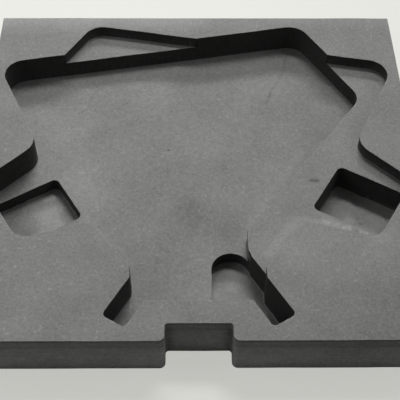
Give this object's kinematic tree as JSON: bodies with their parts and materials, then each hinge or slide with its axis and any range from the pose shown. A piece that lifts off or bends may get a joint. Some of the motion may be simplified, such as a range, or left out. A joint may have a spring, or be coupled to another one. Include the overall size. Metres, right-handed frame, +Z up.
{
  "type": "foam insert",
  "caption": "Flat foam block with mirrored pockets at stepped depths for two crossed tools, slots, square sockets, a thumb pocket and a finger notch.",
  "frame": {"origin": "middle of the underside", "axes": "+Z up out of the pockets, +Y from the finger notch to the back edge, +X to the right"},
  "size_m": [0.35, 0.334, 0.04],
  "materials": {
    "foam": "matt closed-cell foam with a fine grain"
  },
  "bodies": {
    "root": {"foam_insert": "foam"}
  },
  "joints": []
}
